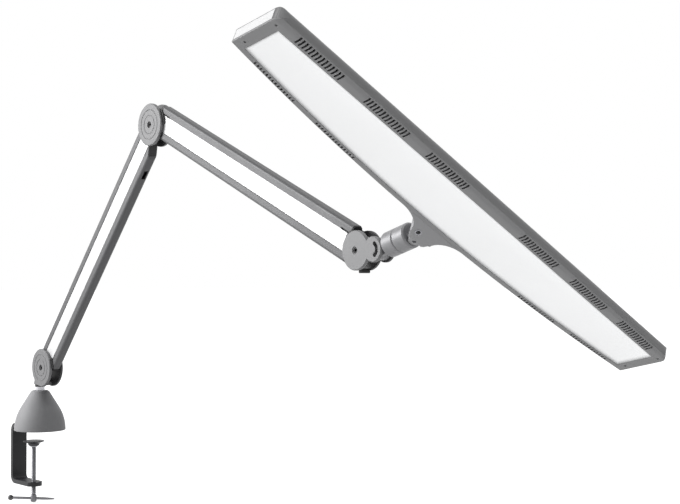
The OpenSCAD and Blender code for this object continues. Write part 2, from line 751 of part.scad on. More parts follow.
// Space of one end cap: inside the rim, flush with the end of the head
module end_pocket(s, rim, depth, low) intersection() {
    translate([0, s * rim, 0]) head_body(rim);
    slab([-10, head_back + 10], s > 0 ? [head_half - depth, head_half + 1]
        : [-head_half - 1, depth - head_half], [low, head_top + 1]);
}

module window(inset) linear_extrude(20) polygon(concat(
    [for (i = [0:16]) let (y = (window_half - inset) * (i / 8 - 1)) [front_x(y, bezel_front + inset), y]],
    [[window_back - inset, window_half - inset], [window_back - inset, -window_half + inset]]
));

// Neck opening and screw places shared by the housing and the neck
neck_root_y = 9;
neck_wide_y = 44;
neck_in = 14;
neck_screw_y = 26;
neck_screw_r = 1.2;
neck_tongue_w = 32;
neck_tongue_z = [frame_top + 0.9, frame_top + 4.4];
// Deep screw in the underside of the neck, beside the pin
pin_screw = [10.5, -7];
pin_screw_r = 2.2;
frame_screw_r = 1.2;
screw_boss_r = 3;
frame_screw_x = [window_back + 0.25 * bezel_back, window_back - 0.6 * head_end_w];
// Half width of the neck behind the pin, and the hollow corners that widen it
neck_waist_y = 14;
neck_hollow_r = 16;

module at_neck_screws() for (y = [-1, 1]) translate([neck_reach + 8, y * neck_screw_y, 0]) children();
module at_frame_screws() for (y = [-1, 1], x = frame_screw_x)
    translate([x, y * (head_half - bezel_end / 2), -head_drop + 0.8]) children();

module neck_plan(gap) {
    edge = neck_reach + 0.4;
    hollow_x = edge - neck_hollow_r;
    sweep = neck_wide_y - neck_waist_y;
    steps = 10;
    half = concat(
        [[0, neck_root_y], [neck_root_r, neck_waist_y - 1.4], [hollow_x, neck_waist_y]],
        [for (i = [1:steps]) let (a = 90 * i / steps)
            [hollow_x + neck_hollow_r * sin(a), neck_waist_y + sweep * (1 - cos(a))]]
    );
    polygon(concat(
        half, [[edge + 1.6, neck_wide_y], [edge + 1.6, -neck_wide_y]],
        [for (i = [len(half) - 1:-1:0]) [half[i][0], -half[i][1]]]
    ));
}

// Side shape of the neck: deep at the pin, thin where it meets the head
module neck_side() polygon([
    [-neck_root_r - 1, -10.4], [2, -10.4], [neck_reach - 6, -head_drop - 2.2], [neck_reach + 0.8, -head_drop + 0.3],
    [neck_reach + 3, -head_drop + 0.3], [neck_reach + 3, head_top - 0.6], [neck_reach - 6, head_top],
    [2, 10.4], [-neck_root_r - 1, 10.4]
]);

module neck() color([0.56, 0.56, 0.57]) at_head() difference() {
    union() {
        intersection() {
            union() {
                translate([0, 0, -20]) linear_extrude(40) neck_plan(0);
                translate([0, 0, -20]) cylinder(r = neck_root_r, h = 40);
                slab([0, 6], [-neck_root_r, neck_root_r], [-20, 20]);
            }
            translate([0, 60, 0]) rotate([90, 0, 0]) linear_extrude(120) neck_side();
            // The front edge of the head cuts the neck to its bow
            translate([0, 0, -20]) linear_extrude(40) polygon(concat(
                [[-20, -60], [-20, 60]],
                [for (i = [0:12]) let (y = 60 - 10 * i) [front_x(y, -0.05), y]]
            ));
        }
        // Flat tongue that slides into the housing
        slab([neck_reach - 4, neck_reach + neck_in], [-neck_tongue_w, neck_tongue_w], neck_tongue_z);
    }
    // Gap for the barrel's tongue
    translate([0, 0, -pin_tongue_h - slack]) cylinder(r = pin_tongue_r + 0.5, h = 2 * (pin_tongue_h + slack));
    slab([-20, 2], [-20, 20], [-pin_tongue_h - slack, pin_tongue_h + slack]);
    translate([0, 0, -20]) cylinder(r = 2 + fit, h = 40);
    translate([0, 0, 9]) cylinder(r = 3.8, h = 10);
    at_neck_screws() translate([0, 0, frame_top]) cylinder(r = 1.4, h = 6);
    translate([pin_screw[0], pin_screw[1], -14]) cylinder(r = pin_screw_r, h = 10);
}

module neck_screws() color([0.1, 0.1, 0.1]) at_head() {
    at_neck_screws() translate([0, 0, frame_top + 0.05]) {
        cylinder(r = 2.4, h = 0.8);
        cylinder(r = neck_screw_r, h = 9);
    }
    translate([pin_screw[0], pin_screw[1], -6]) cylinder(r = pin_screw_r - 0.05, h = 2);
}

module top_housing() color([0.62, 0.62, 0.63]) at_head() difference() {
    union() {
        difference() {
            head_body(0);
            head_body(head_wall);
        }
        // Bosses for the frame screws and the neck screws
        at_frame_screws() cylinder(r = screw_boss_r, h = head_t - head_wall);
        at_neck_screws() translate([0, 0, neck_tongue_z[1] + 0.05])
            cylinder(r = screw_boss_r, h = head_top - head_wall - neck_tongue_z[1] + 0.5);
    }
    at_frame_screws() cylinder(r = frame_screw_r + fit, h = frame_t + 6.2);
    at_neck_screws() cylinder(r = neck_screw_r + fit, h = 8);
    slab([-10, head_back + 10], [-head_half - 1, head_half + 1], [-head_drop - 1, frame_top]);
    slab([neck_reach - 5, neck_reach + 6], [-neck_tongue_w - 0.2, neck_tongue_w + 0.2],
        [frame_top - 1, neck_tongue_z[1] + 0.2]);
    for (s = [-1, 1]) end_pocket(s, cap_rim - 0.05, cap_t, frame_top);
    translate([button_at[0], button_at[1], 0]) cylinder(r = button_d / 2 + 1.9, h = 20);
}

module vent_row(x, w, groups) for (g = groups, i = [0:vents_in_group - 1])
    translate([x, g + vent_pitch * (i - (vents_in_group - 1) / 2), -head_drop + frame_t / 2])
        cube([w, vent_w, frame_t + 2], center = true);

module under_frame() color([0.48, 0.48, 0.49]) at_head() difference() {
    intersection() {
        head_body(0);
        slab([-10, head_back + 10], [-head_half - 1, head_half + 1], [-head_drop - 1, frame_top - 0.05]);
    }
    translate([0, 0, -head_drop - 1]) window(0);
    at_frame_screws() translate([0, 0, -2]) cylinder(r = frame_screw_r + fit, h = 6);
    groups = [for (s = [-1, 1], k = [0:2]) s * (first_group + k * group_pitch)];
    vent_row(window_back + 1.5 + back_vent_len / 2, back_vent_len, groups);
    for (g = groups) if (abs(g) > group_pitch) for (i = [0:vents_in_group - 1])
        let (y = g + vent_pitch * (i - (vents_in_group - 1) / 2))
            translate([front_x(y, bezel_front / 2 + 0.5), y, -head_drop + frame_t / 2])
                cube([front_vent_len, vent_w, frame_t + 2], center = true);
}

// Sunken plate in the window of the frame, on a ledge formed by the light guide
module diffuser() color([0.95, 0.95, 0.95]) at_head()
    intersection() {
        translate([0, 0, -head_drop - 1]) window(0.15);
        slab([-10, head_back], [-head_half, head_half], [-head_drop + 0.9, frame_top - 0.05]);
    }

module light_guide() color([0.98, 0.98, 0.98, 0.8]) at_head() intersection() {
    translate([0, 0, -head_drop - 1]) window(-2);
    slab([-10, head_back], [-head_half, head_half], [frame_top, frame_top + 1.6]);
    // It starts behind the tongue of the neck
    slab([neck_reach + neck_in + 1.5, head_back], [-head_half, head_half], [-20, 20]);
}

module led_strips() color([0.95, 0.9, 0.6]) at_head() {
    strip = 6;
    chip = 6;
    pitch = (window_half - 15) / chips;
    for (x = [window_back - 8, window_back - 26]) {
        slab([x, x + strip], [10 - window_half, window_half - 10], [frame_top + 1.65, frame_top + 2.6]);
        for (i = [-chips:chips]) slab([x + 1.2, x + strip - 1.2], [i * pitch - chip / 2, i * pitch + chip / 2],
            [frame_top + 1.62, frame_top + 2]);
    }
}

module back_tray() color([0.72, 0.73, 0.74]) at_head() difference() {
    slab([neck_reach + neck_in + 8, head_back - corner_r + 1], [2 - window_half, window_half - 2],
        [frame_top + 2.65, frame_top + 3.7]);
    translate([button_at[0], button_at[1], 0]) cylinder(r = button_d / 2 + 3, h = 20);
}

module driver_board() color([0.1, 0.35, 0.2]) at_head() {
    from = window_back - board_w - 8;
    slab([from, from + board_w], [board_from, board_from + board_len], [frame_top + 3.75, frame_top + 5.2]);
    coil_pitch = board_len / 4.5;
    coil_w = 12;
    for (k = [0:3]) let (y = board_from + coil_w / 2 + k * coil_pitch)
        slab([from + 4, from + 4 + coil_w], [y, y + coil_w], [frame_top + 5.15, frame_top + 8.4]);
}

module end_caps() color([0.97, 0.97, 0.97]) at_head() for (s = [-1, 1])
    end_pocket(s, cap_rim, cap_t - 0.05, frame_top + 0.05);

module frame_screws() color([0.1, 0.1, 0.1]) at_head()
    at_frame_screws() cylinder(r = frame_screw_r, h = frame_t + 6);

module switch_bezel() color([0.2, 0.2, 0.2]) at_head() translate([button_at[0], button_at[1], 0]) {
    translate([0, 0, head_top - 4.6]) ring(button_d / 2 + 1.8, button_d / 2 + slack, 4.6);
    translate([0, 0, frame_top + 2.7]) cylinder(r = button_d / 2 + 1.8, h = head_top - 4.5 - frame_top - 2.7);
}

module switch_button() color([0.85, 0.85, 0.85]) at_head() translate([button_at[0], button_at[1], 0])
    translate([0, 0, head_top - 4.3 + button_travel]) cylinder(r = button_d / 2, h = 4.3);

clamp_bracket();
post_socket();
socket_screws();
bell_cover();
clamp_screw();
sliding_bar();
bar_ball();
pressure_plate();
plate_retainer();
post();
post_collar();
base_cheek_front();
base_cheek_back();
base_bolt();
base_spacer();
base_rod_pin();
lower_profile();
lower_panels();
lower_foot_fitting();
lower_top_fitting();
lower_spring();
lower_tie_rod();
elbow_cheek_front();
elbow_cheek_back();
elbow_bolt();
elbow_spacer();
elbow_rod_pins();
upper_profile();
upper_panels();
upper_elbow_fitting();
upper_shade_fitting();
upper_spring();
upper_tie_rod();
bracket_plate_front();
bracket_plate_back();
shade_bolt();
shade_spacer();
shade_rod_pin();
bump_stop();
tilt_knuckle();
tilt_bolt();
limit_pin();
swivel_axle();
swivel_barrel();
head_pin();
neck();
neck_screws();
top_housing();
under_frame();
diffuser();
light_guide();
led_strips();
back_tray();
driver_board();
end_caps();
frame_screws();
switch_bezel();
switch_button();
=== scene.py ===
import math

import bpy
from mathutils import Matrix, Vector


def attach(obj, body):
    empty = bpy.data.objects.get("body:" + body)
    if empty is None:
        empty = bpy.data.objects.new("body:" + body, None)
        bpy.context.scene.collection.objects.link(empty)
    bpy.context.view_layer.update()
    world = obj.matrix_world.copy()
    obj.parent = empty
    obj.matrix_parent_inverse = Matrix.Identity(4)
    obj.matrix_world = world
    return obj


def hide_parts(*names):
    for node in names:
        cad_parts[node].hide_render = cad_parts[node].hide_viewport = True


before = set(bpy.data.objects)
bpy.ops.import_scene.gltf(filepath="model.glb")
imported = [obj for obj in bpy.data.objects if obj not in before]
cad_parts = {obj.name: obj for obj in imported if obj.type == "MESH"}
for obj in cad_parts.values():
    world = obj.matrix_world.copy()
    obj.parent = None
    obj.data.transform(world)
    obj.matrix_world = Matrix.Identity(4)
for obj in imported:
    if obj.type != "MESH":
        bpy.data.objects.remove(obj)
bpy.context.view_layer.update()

# Places of the joints, in metres, from the length and the lean of the arms
ARM_LENGTH = 0.4
LOWER_LEAN, UPPER_LEAN = math.radians(48.5), math.radians(22.7)
BASE = Vector((0.02, 0, 0.0845))
ELBOW = BASE + ARM_LENGTH * Vector((math.cos(LOWER_LEAN), 0, math.sin(LOWER_LEAN)))
SHADE = ELBOW + ARM_LENGTH * Vector((math.cos(UPPER_LEAN), 0, -math.sin(UPPER_LEAN)))
TILT = SHADE + Vector((0.025, 0, 0.0007))

# Ways of the arm sections: the upper one starts 9 mm above the elbow bolt
UPPER_LIFT = 0.009
LOWER_TURN = (0, -LOWER_LEAN, 0)
UPPER_TURN = (0, UPPER_LEAN + math.asin(UPPER_LIFT / ARM_LENGTH), 0)
LOWER_WAY = Matrix.Rotation(LOWER_TURN[1], 3, "Y")
UPPER_WAY = Matrix.Rotation(UPPER_TURN[1], 3, "Y")
UPPER_FROM = SHADE - UPPER_WAY @ Vector((ARM_LENGTH, 0, 0))

# Ways of the knuckle, the barrel and the head
TILT_TURN = Matrix.Rotation(math.radians(-16), 3, "Y")
ROLL_TURN = TILT_TURN @ Matrix.Rotation(math.radians(-31), 3, "X")
HEAD_TURN = ROLL_TURN @ Matrix.Rotation(math.radians(5.6), 3, "Z")
PIN = TILT + TILT_TURN @ Vector((0.053, 0, 0))
ALONG_Y = Matrix.Rotation(math.radians(-90), 3, "X")


def in_head(x, y, z):
    """A place in the head's own directions, from its pin."""
    return PIN + HEAD_TURN @ Vector((x, y, z))


def add(tree, kind, **inputs):
    """A shader node with its inputs set: a value, or a socket to link from."""
    node = tree.nodes.new(kind)
    for key, value in inputs.items():
        name = key.replace("_", " ")
        socket = node.inputs[int(key[1:])] if key[0] == "i" and key[1:].isdigit() else node.inputs[name]
        if isinstance(value, bpy.types.NodeSocket):
            tree.links.new(value, socket)
        else:
            socket.default_value = value
    return node


def ramp(tree, value, low, high, to_low, to_high):
    """A soft step from one value to another."""
    node = add(tree, "ShaderNodeMapRange", Value=value)
    node.interpolation_type = "SMOOTHSTEP"
    for name, number in (("From Min", low), ("From Max", high), ("To Min", to_low), ("To Max", to_high)):
        node.inputs[name].default_value = number
    return node.outputs["Result"]


def blend_colours(tree, factor, a, b):
    node = tree.nodes.new("ShaderNodeMix")
    node.data_type = "RGBA"
    node.clamp_factor = True
    for socket, value in ((node.inputs[0], factor), (node.inputs[6], a), (node.inputs[7], b)):
        if isinstance(value, bpy.types.NodeSocket):
            tree.links.new(value, socket)
        else:
            socket.default_value = value
    return node.outputs[2]


def maths(tree, operation, a, b=0.0):
    node = add(tree, "ShaderNodeMath", i0=a, i1=b)
    node.operation = operation
    return node.outputs[0]


def vector_maths(tree, operation, a, b):
    node = add(tree, "ShaderNodeVectorMath", i0=a, i1=b)
    node.operation = operation
    return node


def noise(tree, at, scale, detail, roughness):
    node = add(tree, "ShaderNodeTexNoise", Vector=at, Scale=scale, Detail=detail, Roughness=roughness)
    return node.outputs["Fac"]


def brighter(colour, factor):
    return tuple(min(1.0, c * factor) for c in colour[:3]) + (1.0,)


def surface(name, colour, rough, metal=0.0, grain=(3000, 3000, 3000), turn=(0, 0, 0), centre=None,
            mottle=0.05, mottle_scale=45, grain_colour=0.05, grain_rough=0.06, bump=0.12, depth=0.00004,
            rings=0.0, wear=0.0, wear_shade=1.4, edge=0.0006, dust=0.0, coat=0.0, glow=0.0, level=0.5):
    """A procedural finish. grain is how fine its marks are along each axis of the turned texture, per metre.
    With a centre, the marks run round the Y axis of the turned texture through it."""
    mat = bpy.data.materials.new(name)
    mat.use_nodes = True
    tree = mat.node_tree
    tree.nodes.clear()
    out = tree.nodes.new("ShaderNodeOutputMaterial")
    body = tree.nodes.new("ShaderNodeBsdfPrincipled")
    tree.links.new(body.outputs[0], out.inputs[0])
    surface_at = tree.nodes.new("ShaderNodeTexCoord").outputs["Object"]
    colour = tuple(colour) + (1.0,)

    local = add(tree, "ShaderNodeMapping", Vector=surface_at, Rotation=turn, Location=centre or (0, 0, 0))
    local.vector_type = "TEXTURE"
    marks_at = local.outputs[0]
    if centre is not None:
        parts = add(tree, "ShaderNodeSeparateXYZ", Vector=marks_at)
        x_squared = maths(tree, "MULTIPLY", parts.outputs[0], parts.outputs[0])
        z_squared = maths(tree, "MULTIPLY", parts.outputs[2], parts.outputs[2])
        radius = maths(tree, "SQRT", maths(tree, "ADD", x_squared, z_squared))
        marks_at = add(tree, "ShaderNodeCombineXYZ", X=radius, Y=parts.outputs[1]).outputs[0]
    marks = noise(tree, vector_maths(tree, "MULTIPLY", marks_at, grain).outputs[0], 1.0, 3.0, 0.6)
    clouds = noise(tree, surface_at, float(mottle_scale), 5.0, 0.62)
    fine = noise(tree, surface_at, 2600.0, 2.0, 0.7)

    tone = ramp(tree, clouds, 0.3, 0.7, 1 - mottle, 1 + mottle)
    tone = maths(tree, "MULTIPLY", tone, ramp(tree, marks, 0.3, 0.7, 1 - grain_colour, 1 + grain_colour))
    if dust:
        facing = tree.nodes.new("ShaderNodeNewGeometry").outputs["Normal"]
        up = add(tree, "ShaderNodeSeparateXYZ", Vector=facing).outputs[2]
        settled = maths(tree, "MULTIPLY", ramp(tree, up, 0.2, 1.0, 0.0, dust), clouds)
        tone = maths(tree, "ADD", tone, settled)
    spread = add(tree, "ShaderNodeCombineXYZ", X=tone, Y=tone, Z=tone)
    final = vector_maths(tree, "MULTIPLY", colour[:3], spread.outputs[0]).outputs[0]

    bevel = add(tree, "ShaderNodeBevel", Radius=edge)
    bevel.samples = 4
    normal = bevel.outputs[0]
    if wear:
        flat = tree.nodes.new("ShaderNodeNewGeometry").outputs["Normal"]
        bend = vector_maths(tree, "DOT_PRODUCT", normal, flat).outputs["Value"]
        edges = ramp(tree, bend, 0.72, 0.99, 1.0, 0.0)
        edges = maths(tree, "MULTIPLY", edges, ramp(tree, fine, 0.35, 0.6, 0.4, 1.0))
        final = blend_colours(tree, maths(tree, "MULTIPLY", edges, wear), final, brighter(colour, wear_shade))
    tree.links.new(final, body.inputs["Base Color"])

    height = maths(tree, "ADD", maths(tree, "MULTIPLY", marks, 0.75), maths(tree, "MULTIPLY", fine, 0.25))
    if rings and centre is not None:
        wave = maths(tree, "SINE", maths(tree, "MULTIPLY", radius, rings * 2 * math.pi))
        height = maths(tree, "ADD", height, maths(tree, "MULTIPLY", wave, 0.5))
    relief = add(tree, "ShaderNodeBump", Strength=bump, Distance=depth, Height=height, Normal=normal)
    tree.links.new(relief.outputs[0], body.inputs["Normal"])

    spots = maths(tree, "ADD", maths(tree, "MULTIPLY", marks, 0.6), maths(tree, "MULTIPLY", clouds, 0.4))
    gloss = ramp(tree, spots, 0.3, 0.7, max(0.03, rough - grain_rough), rough + grain_rough)
    tree.links.new(gloss, body.inputs["Roughness"])
    body.inputs["Metallic"].default_value = metal
    body.inputs["Specular IOR Level"].default_value = level
    body.inputs["Coat Weight"].default_value = coat
    body.inputs["Coat Roughness"].default_value = 0.25
    if glow:
        tree.links.new(final, body.inputs["Emission Color"])
        body.inputs["Emission Strength"].default_value = glow
    return mat


def dress(mat, *names):
    for name in names:
        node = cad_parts[name]
        node.data.materials.clear()
        node.data.materials.append(mat)


# Steel: black oxide, turned and ground
black_steel = surface("black_oxide", (0.012, 0.012, 0.013), 0.38, metal=0.4, bump=0.2, wear=0.4,
                      wear_shade=4.0, edge=0.0003)
dress(black_steel, "socket_screws", "base_bolt", "elbow_bolt", "shade_bolt", "tilt_bolt", "limit_pin",
      "neck_screws")
TURNED_MARKS = (3000, 3000, 160)
bright_steel = surface("bright_steel", (0.27, 0.27, 0.285), 0.28, metal=1.0, grain=TURNED_MARKS, bump=0.2,
                       wear=0.3)
dress(bright_steel, "base_rod_pin", "elbow_rod_pins", "shade_rod_pin", "swivel_axle", "head_pin",
      "plate_retainer")
screw_steel = surface("screw_steel", (0.16, 0.16, 0.17), 0.3, metal=1.0, grain=TURNED_MARKS, bump=0.2,
                      wear=0.5)
dress(screw_steel, "clamp_screw", "sliding_bar")
SCREW_X, PLATE_TOP = -0.017, -0.016
pad_steel = surface("pad_steel", (0.045, 0.045, 0.048), 0.34, metal=0.9, grain=(5200, 30, 30),
                    turn=(math.pi / 2, 0, 0), centre=(SCREW_X, 0, PLATE_TOP), rings=900, bump=0.25, wear=0.4)
dress(pad_steel, "pressure_plate")
dress(surface("socket_steel", (0.14, 0.14, 0.145), 0.4, metal=0.9, grain=(40, 6000, 40), wear=0.4),
      "post_socket")
dress(surface("post_steel", (0.45, 0.45, 0.47), 0.3, metal=0.85, grain=(50, 50, 9000), bump=0.2, wear=0.3),
      "post")

# Powder coats of the clamp and the bell, and the back discs darkened as painted shade
charcoal = surface("charcoal_coat", (0.012, 0.012, 0.014), 0.45, mottle=0.12, bump=0.3, depth=0.00006,
                   wear=0.4, wear_shade=3.0, dust=1.0, level=0.35)
dress(charcoal, "clamp_bracket")
bell_coat = surface("bell_coat", (0.37, 0.37, 0.38), 0.55, mottle=0.05, bump=0.22, depth=0.00005, wear=0.4,
                    dust=0.12, level=0.3)
dress(bell_coat, "bell_cover")
# The back discs and the back bracket plate are far darker than the same parts in front: painted shade for
# their inner faces, which lie in shadow
dark_cheek = surface("dark_cheek", (0.045, 0.045, 0.048), 0.45, mottle=0.1, bump=0.25, wear=0.35,
                     wear_shade=3.0)
dress(dark_cheek, "base_cheek_back", "elbow_cheek_back", "bracket_plate_back")

# Black plastic and rubber
black_plastic = surface("black_plastic", (0.011, 0.011, 0.012), 0.55, mottle=0.1, bump=0.4, depth=0.00003,
                        wear=0.3, wear_shade=3.0, edge=0.0004)
dress(black_plastic, "bar_ball", "post_collar", "base_spacer", "elbow_spacer", "shade_spacer",
      "lower_foot_fitting", "lower_top_fitting", "upper_elbow_fitting", "upper_shade_fitting")
knob_plastic = surface("knob_plastic", (0.06, 0.06, 0.062), 0.25, coat=0.4, bump=0.1)
dress(surface("stop_rubber", (0.012, 0.012, 0.012), 0.75, mottle=0.15, bump=0.5, depth=0.00008), "bump_stop")

# Front discs, turned round their bolts, and the front plate of the bracket
for name, at in (("base_cheek_front", BASE), ("elbow_cheek_front", ELBOW)):
    turned_disc = surface(name + "_turned", (0.2, 0.2, 0.205), 0.48, metal=0.2, grain=(7000, 30, 30),
                          centre=tuple(at), rings=620, bump=0.05, grain_colour=0.04, wear=0.15, edge=0.0005)
    dress(turned_disc, name)
bracket_coat = surface("bracket_coat", (0.245, 0.245, 0.25), 0.5, metal=0.2, mottle=0.06, bump=0.2, wear=0.7,
                       wear_shade=1.8)
dress(bracket_coat, "bracket_plate_front")

# Arms: extruded rails, pale panels, springs and tie rods, with their marks along the arm
DRAWN_MARKS = (60, 5200, 5200)
WIRE_MARKS = (900, 60, 60)
for part, way in (("lower", LOWER_TURN), ("upper", UPPER_TURN)):
    rail = surface(part + "_rail", (0.105, 0.105, 0.109), 0.45, metal=0.3, grain=DRAWN_MARKS, turn=way,
                   mottle=0.04, bump=0.22, grain_colour=0.09, wear=0.5, edge=0.0009)
    dress(rail, part + "_profile")
    web = surface(part + "_web", (0.86, 0.86, 0.865), 0.4, metal=0.15, grain=DRAWN_MARKS, turn=way,
                  mottle=0.02, bump=0.1, grain_colour=0.02)
    dress(web, part + "_panels")
    wire = surface(part + "_spring", (0.16, 0.16, 0.165), 0.35, metal=0.9, grain=WIRE_MARKS, turn=way,
                   bump=0.6, depth=0.0004)
    dress(wire, part + "_spring")
    rod = surface(part + "_rod", (0.38, 0.38, 0.385), 0.42, metal=0.7, grain=DRAWN_MARKS, turn=way, bump=0.2,
                  wear=0.3)
    dress(rod, part + "_tie_rod")

# Knuckle, barrel and the coats of the head
knuckle_cast = surface("knuckle_cast", (0.3, 0.3, 0.31), 0.45, metal=0.3, mottle=0.06, mottle_scale=90,
                       bump=0.35, depth=0.00006, wear=0.6, wear_shade=1.7)
dress(knuckle_cast, "tilt_knuckle", "swivel_barrel")
head_way = tuple(HEAD_TURN.to_euler("XYZ"))
HEAD_COAT = {"turn": head_way, "mottle": 0.03, "mottle_scale": 25, "bump": 0.25, "depth": 0.00005,
             "wear": 0.5, "wear_shade": 1.6}
# The neck has the same coat as the housing, painted lighter (0.42 against 0.34): painted light
dress(surface("neck_coat_painted_light", (0.42, 0.42, 0.43), 0.42, metal=0.25, dust=0.1, **HEAD_COAT), "neck")
housing_coat = surface("housing_coat", (0.34, 0.34, 0.345), 0.45, metal=0.15, dust=0.1, level=0.35,
                       **HEAD_COAT)
dress(housing_coat, "top_housing")
frame_coat = surface("frame_coat", (0.34, 0.34, 0.345), 0.45, metal=0.25, **HEAD_COAT)
dress(frame_coat, "under_frame", "frame_screws")
# The back tray is nearly black so that the vent slots look dark: painted shade
TRAY_MARKS = (60, 4200, 4200)
dress(surface("tray_black_painted_shade", (0.02, 0.02, 0.021), 0.6, grain=TRAY_MARKS, turn=head_way, bump=0.2), "back_tray")

# Opal dish: it glows evenly on its floor, and on the sloping border its glow is turned down as painted shade
FLOOR_GLOW, RIM_GLOW = 0.7, 0.06
SLOPE_LOW, SLOPE_HIGH = -0.0037, -0.0018
opal = surface("opal", (0.88, 0.885, 0.89), 0.5, turn=head_way, mottle=0.012, mottle_scale=18, bump=0.15,
               depth=0.00003, grain_colour=0.01, glow=FLOOR_GLOW)
dress(opal, "diffuser")
head_up = HEAD_TURN @ Vector((0, 0, 1))
opal_at = opal.node_tree.nodes.new("ShaderNodeTexCoord").outputs["Object"]
depth_at = vector_maths(opal.node_tree, "DOT_PRODUCT", opal_at, tuple(head_up)).outputs["Value"]
pin_level = PIN.dot(head_up)
painted_border_shade = ramp(opal.node_tree, depth_at, pin_level + SLOPE_LOW, pin_level + SLOPE_HIGH, RIM_GLOW, FLOOR_GLOW)
opal_body = next(node for node in opal.node_tree.nodes if node.type == "BSDF_PRINCIPLED")
opal.node_tree.links.new(painted_border_shade, opal_body.inputs["Emission Strength"])

# Inside and ends of the head
dress(surface("guide_clear", (0.85, 0.88, 0.9), 0.15, mottle=0.02, bump=0.05), "light_guide")
dress(surface("led_mask", (0.82, 0.8, 0.7), 0.45, mottle=0.05, bump=0.2), "led_strips")
dress(surface("board_mask", (0.01, 0.07, 0.025), 0.35, mottle=0.15, bump=0.3, depth=0.0001), "driver_board")
# The end caps glow a little (glow=0.12): painted light, brighter than their lighting makes them
cap_plastic_painted_glow = surface("cap_plastic_painted_glow", (0.96, 0.96, 0.965), 0.5, mottle=0.02, bump=0.3, depth=0.00003,
                      grain_colour=0.02, glow=0.12)
dress(cap_plastic_painted_glow, "end_caps")
dress(surface("bezel_plastic", (0.02, 0.02, 0.021), 0.4, mottle=0.1, bump=0.3, depth=0.00003), "switch_bezel")
button_plastic = surface("button_plastic", (0.6, 0.6, 0.61), 0.3, mottle=0.03, bump=0.15, coat=0.3)
dress(button_plastic, "switch_button")


# Ways to make the pieces that are finer than the solids they stand for
def place(piece, at=(0, 0, 0), turn=None):
    """Moves a fresh piece to its place and puts that place in its mesh."""
    piece.matrix_world = Matrix.Translation(at) @ (turn or Matrix.Identity(3)).to_4x4()
    bpy.ops.object.select_all(action="DESELECT")
    piece.select_set(True)
    bpy.context.view_layer.objects.active = piece
    bpy.ops.object.transform_apply(location=True, rotation=True, scale=True)


def finish_piece(piece, name, body, mat, smooth=32):
    """Names a piece, turns its faces outward, shades it, and lets it ride on its body."""
    piece.name = piece.data.name = name
    bpy.ops.object.select_all(action="DESELECT")
    piece.select_set(True)
    bpy.context.view_layer.objects.active = piece
    bpy.ops.object.mode_set(mode="EDIT")
    bpy.ops.mesh.select_all(action="SELECT")
    bpy.ops.mesh.remove_doubles(threshold=1e-6)
    bpy.ops.mesh.normals_make_consistent(inside=False)
    bpy.ops.object.mode_set(mode="OBJECT")
    bpy.ops.object.shade_smooth_by_angle(angle=math.radians(smooth))
    piece.data.materials.clear()
    piece.data.materials.append(mat)
    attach(piece, body)
    return piece


def turned(profile, sides=64):
    """A piece turned about Z: rings of (radius, height), each extruded from the one before."""
    bpy.ops.object.select_all(action="DESELECT")
    radius, height = profile[0]
    bpy.ops.mesh.primitive_circle_add(vertices=sides, radius=radius, location=(0, 0, height),
                                      fill_type="NGON")
    bpy.ops.object.mode_set(mode="EDIT")
    bpy.ops.mesh.select_all(action="SELECT")
    for (old_radius, old_height), (radius, height) in zip(profile, profile[1:]):
        bpy.ops.mesh.extrude_region_move(TRANSFORM_OT_translate={"value": (0, 0, height - old_height)})
        growth = radius / old_radius
        bpy.ops.transform.resize(value=(growth, growth, 1), center_override=(0, 0, height))
    bpy.ops.object.mode_set(mode="OBJECT")
    piece = bpy.context.object
    place(piece, at=(0, 0, profile[0][1]))
    return piece


def cut(piece, cutter, operation="DIFFERENCE"):
    """Takes the cutter's shape out of the piece, or keeps what both share, and removes the cutter."""
    taken = piece.modifiers.new("cut", "BOOLEAN")
    taken.operation = operation
    taken.solver = "EXACT"
    taken.object = cutter
    bpy.ops.object.select_all(action="DESELECT")
    piece.select_set(True)
    bpy.context.view_layer.objects.active = piece
    bpy.ops.object.modifier_apply(modifier="cut")
    bpy.data.objects.remove(cutter)


def block(x, y, z):
    """A plain block between two places on each axis."""
    bpy.ops.object.select_all(action="DESELECT")
    bpy.ops.mesh.primitive_cube_add(size=1)
    piece = bpy.context.object
    size = Matrix.Diagonal((x[1] - x[0], y[1] - y[0], z[1] - z[0]))
    place(piece, at=((x[0] + x[1]) / 2, (y[0] + y[1]) / 2, (z[0] + z[1]) / 2), turn=size)
    return piece


def round_bar(radius, length, at=(0, 0, 0), sides=48, turn=(0, 0, 0)):
    """A cutter, round or with few sides, with its middle at a place."""
    bpy.ops.object.select_all(action="DESELECT")
    bpy.ops.mesh.primitive_cylinder_add(vertices=sides, radius=radius, depth=length, location=at,
                                        rotation=turn)
    return bpy.context.object


def hex_socket(piece, across_flats, top, depth):
    cut(piece, round_bar(across_flats / math.sqrt(3), depth * 2, (0, 0, top), sides=6))


def wound(wire_sides, wire_radius, coil_radius, pitch, turns, steps):
    """A wire or a ridge wound about Z from height 0 up, closed at both ends."""
    bpy.ops.object.select_all(action="DESELECT")
    bpy.ops.mesh.primitive_circle_add(vertices=wire_sides, radius=wire_radius, location=(coil_radius, 0, 0),
                                      rotation=(math.pi / 2, 0, 0))
    piece = bpy.context.object
    bpy.ops.object.transform_apply(location=True, rotation=True, scale=True)
    winding = piece.modifiers.new("winding", "SCREW")
    winding.axis = "Z"
    winding.screw_offset = pitch
    winding.iterations = turns
    winding.steps = winding.render_steps = steps
    bpy.ops.object.modifier_apply(modifier="winding")
    bpy.ops.object.mode_set(mode="EDIT")
    bpy.ops.mesh.select_all(action="DESELECT")
    bpy.ops.mesh.select_mode(type="EDGE")
    bpy.ops.mesh.select_non_manifold()
    bpy.ops.mesh.edge_face_add()
    bpy.ops.mesh.select_mode(type="VERT")
    bpy.ops.object.mode_set(mode="OBJECT")
    return piece


def joined(pieces):
    bpy.ops.object.select_all(action="DESELECT")
    for piece in pieces:
        piece.select_set(True)
    bpy.context.view_layer.objects.active = pieces[0]
    bpy.ops.object.join()
    return bpy.context.object


